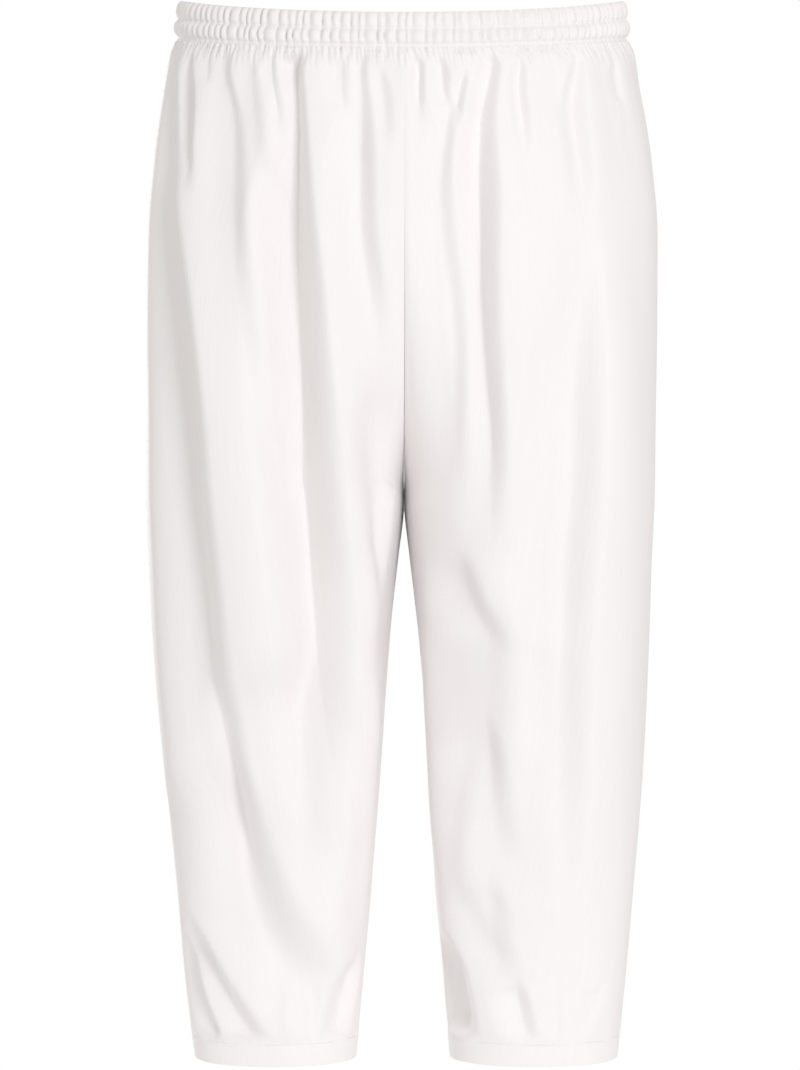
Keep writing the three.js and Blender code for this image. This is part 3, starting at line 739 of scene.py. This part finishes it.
def ankle_band_grids(leg):
    """The same for an ankle band."""
    shares = np.arange(ANKLE_GRID_COLUMNS) / ANKLE_GRID_COLUMNS
    outer, inner, uv = [], [], []
    for share in np.linspace(0, 1, ANKLE_GRID_ROWS):
        drop = LEG_END + ANKLE_GAP + share * (ANKLE_BAND_HEIGHT - ANKLE_GAP)
        row_out, row_in, row_uv = [], [], []
        edge = math.exp(-share / ANKLE_TOP_EDGE_REACH) + math.exp(-(1 - share) / ANKLE_HEM_REACH)
        for half, from_side in (("front", True), ("back", False)):
            total = half_ring(leg, half, drop)[1][-1]
            distance = (shares if from_side else 1 - shares) * total
            places, out = ring_at(leg, half, drop, distance)
            change = 2 * np.sin(distance / ANKLE_WAVE_CHANGE)
            wave = ANKLE_WAVE * np.sin(distance / ANKLE_WAVE_LENGTH + change)
            raised = ANKLE_LIFT + wave - ANKLE_EDGE * edge
            within = ANKLE_BAND_WALL - ANKLE_INNER_EDGE * edge - wave
            row_out.append(places + out * raised[:, None])
            row_in.append(places - out * within[:, None])
            row_uv.append(np.stack([distance, np.full_like(distance, drop)], 1))
        outer.append(np.vstack(row_out))
        inner.append(np.vstack(row_in))
        uv.append(np.vstack(row_uv))
    return np.array(outer), np.array(inner), np.array(uv)


def stitches_mesh(name, lines):
    """Small thread stitches along closed rows of points on a skin, given with the rows under them. Each
    stitch is a short bar that rises out of the cloth and dives back into it."""
    points, faces = [], []
    for surface, within in lines:
        loop = np.vstack([surface, surface[:1]])
        out = np.vstack([surface - within, (surface - within)[:1]])
        along = np.concatenate([[0], np.cumsum(np.linalg.norm(np.diff(loop, axis=0), axis=1))])
        for centre in np.arange(STITCH_PITCH / 2, along[-1], STITCH_PITCH):
            stations = centre + STITCH_LENGTH * np.array([place for place, _, _ in STITCH_RINGS])
            middle = np.stack([np.interp(stations, along, loop[:, k]) for k in range(3)], 1)
            away = np.array([np.interp(centre, along, out[:, k]) for k in range(3)])
            away /= np.linalg.norm(away)
            side = np.cross(middle[-1] - middle[0], away)
            side /= np.linalg.norm(side)
            first = len(points)
            for place, (_, lift, size) in zip(middle, STITCH_RINGS):
                for turn in np.arange(STITCH_SIDES) * 2 * math.pi / STITCH_SIDES:
                    up, across = lift + size * math.sin(turn), size * math.cos(turn)
                    points.append(place + THREAD_RADIUS * (away * up + side * across))
            rings = first + np.arange(len(STITCH_RINGS) * STITCH_SIDES).reshape(-1, STITCH_SIDES)
            for lower, upper in zip(rings[:-1], rings[1:]):
                faces += np.stack([lower, np.roll(lower, -1), np.roll(upper, -1), upper], 1).tolist()
            faces.append(rings[0, ::-1].tolist())
            faces.append(rings[-1].tolist())
    mesh = bpy.data.meshes.new(name)
    mesh.from_pydata([tuple(p) for p in points], [], faces)
    mesh.shade_smooth()
    return mesh


# Cloth and thread

def cloth_material(name, colour, slub):
    """Matt white cloth with a faint sheen: slubs along the thread, a fine weft and slow clouds of tone, all
    in metres of the cloth's own places. slub says how much its threads stand out."""
    material = bpy.data.materials.new(name)
    material.use_nodes = True
    nodes, links = material.node_tree.nodes, material.node_tree.links
    shader = nodes["Principled BSDF"]
    shader.inputs["Roughness"].default_value = 0.62
    shader.inputs["Specular IOR Level"].default_value = 0.3
    shader.inputs["Sheen Weight"].default_value = 0.12
    shader.inputs["Sheen Roughness"].default_value = 0.4
    place = nodes.new("ShaderNodeUVMap")
    place.uv_map = "cloth"

    def noise(scale, detail):
        mapping = nodes.new("ShaderNodeMapping")
        mapping.inputs["Scale"].default_value = scale
        links.new(place.outputs["UV"], mapping.inputs["Vector"])
        texture = nodes.new("ShaderNodeTexNoise")
        texture.inputs["Scale"].default_value = 1.0
        texture.inputs["Detail"].default_value = detail
        links.new(mapping.outputs["Vector"], texture.inputs["Vector"])
        return texture.outputs["Fac"]

    def bump(height, distance, before=None):
        node = nodes.new("ShaderNodeBump")
        node.inputs["Distance"].default_value = distance
        node.inputs["Strength"].default_value = 1.0
        links.new(height, node.inputs["Height"])
        if before:
            links.new(before, node.inputs["Normal"])
        return node.outputs["Normal"]

    slubs = noise(SLUB_SCALE, 3)
    weft = noise(WEFT_SCALE, 2)
    cloud = noise(CLOUD_SCALE, 3)
    ramp = nodes.new("ShaderNodeValToRGB")
    ramp.color_ramp.elements[0].position, ramp.color_ramp.elements[1].position = 0.25, 0.75
    ramp.color_ramp.elements[0].color = (*[c * SHADE for c in colour], 1)
    ramp.color_ramp.elements[1].color = (*colour, 1)
    add = nodes.new("ShaderNodeMix")
    add.inputs["Factor"].default_value = 0.35
    links.new(slubs, add.inputs["A"])
    links.new(cloud, add.inputs["B"])
    links.new(add.outputs["Result"], ramp.inputs["Fac"])
    links.new(ramp.outputs["Color"], shader.inputs["Base Color"])
    normal = bump(slubs, SLUB_HEIGHT * slub)
    normal = bump(weft, WEFT_HEIGHT * slub, normal)
    links.new(normal, shader.inputs["Normal"])
    return material


def thread_material():
    material = bpy.data.materials.new("sewing_thread")
    material.use_nodes = True
    nodes, links = material.node_tree.nodes, material.node_tree.links
    shader = nodes["Principled BSDF"]
    shader.inputs["Roughness"].default_value = 0.5
    shader.inputs["Sheen Weight"].default_value = 0.1
    noise = nodes.new("ShaderNodeTexNoise")
    noise.inputs["Scale"].default_value = THREAD_SCALE
    ramp = nodes.new("ShaderNodeValToRGB")
    ramp.color_ramp.elements[0].color = (*THREAD_SHADE, 1)
    ramp.color_ramp.elements[1].color = (*THREAD_WHITE, 1)
    links.new(noise.outputs["Fac"], ramp.inputs["Fac"])
    links.new(ramp.outputs["Color"], shader.inputs["Base Color"])
    return material


make_camera()
make_studio()

LEG_CLOTH = cloth_material("leg_cloth", LEG_WHITE, 1.0)
BAND_CLOTH = cloth_material("waistband_cloth", BAND_WHITE, 0.9)
ANKLE_CLOTH = cloth_material("ankle_band_cloth", ANKLE_WHITE, 0.8)
THREAD = thread_material()

band_outer, band_inner, band_uv = waistband_grids()
band_mesh = shell_mesh("waistband", band_outer, band_inner, band_uv, True)
waistband = add_piece("gathered_waistband", band_mesh, BAND_CLOTH)
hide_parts("waistband")
band_rows = [round(bottom * (BAND_GRID_ROWS - 1)) for _, bottom, _ in TUNNELS]
band_lines = [(band_outer[row], band_inner[row]) for row in band_rows]
stitches = add_piece("waistband_stitches", stitches_mesh("waistband_stitches", band_lines), THREAD)

for leg in ("right", "left"):
    for half in ("front", "back"):
        panel = add_piece(f"{half}_{leg}_leg", panel_mesh(leg, half), LEG_CLOTH)
        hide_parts(f"{half}_{leg}")
    ankle_outer, ankle_inner, ankle_uv = ankle_band_grids(leg)
    ankle_mesh = shell_mesh(f"ankle_band_{leg}", ankle_outer, ankle_inner, ankle_uv, True)
    band = add_piece(f"{leg}_ankle_band", ankle_mesh, ANKLE_CLOTH)
    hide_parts(f"ankle_band_{leg}")
    ankle_lines = [(ankle_outer[ANKLE_STITCH_ROW], ankle_inner[ANKLE_STITCH_ROW])]
    stitches = add_piece(f"{leg}_ankle_stitches", stitches_mesh(f"{leg}_ankle_stitches", ankle_lines), THREAD)
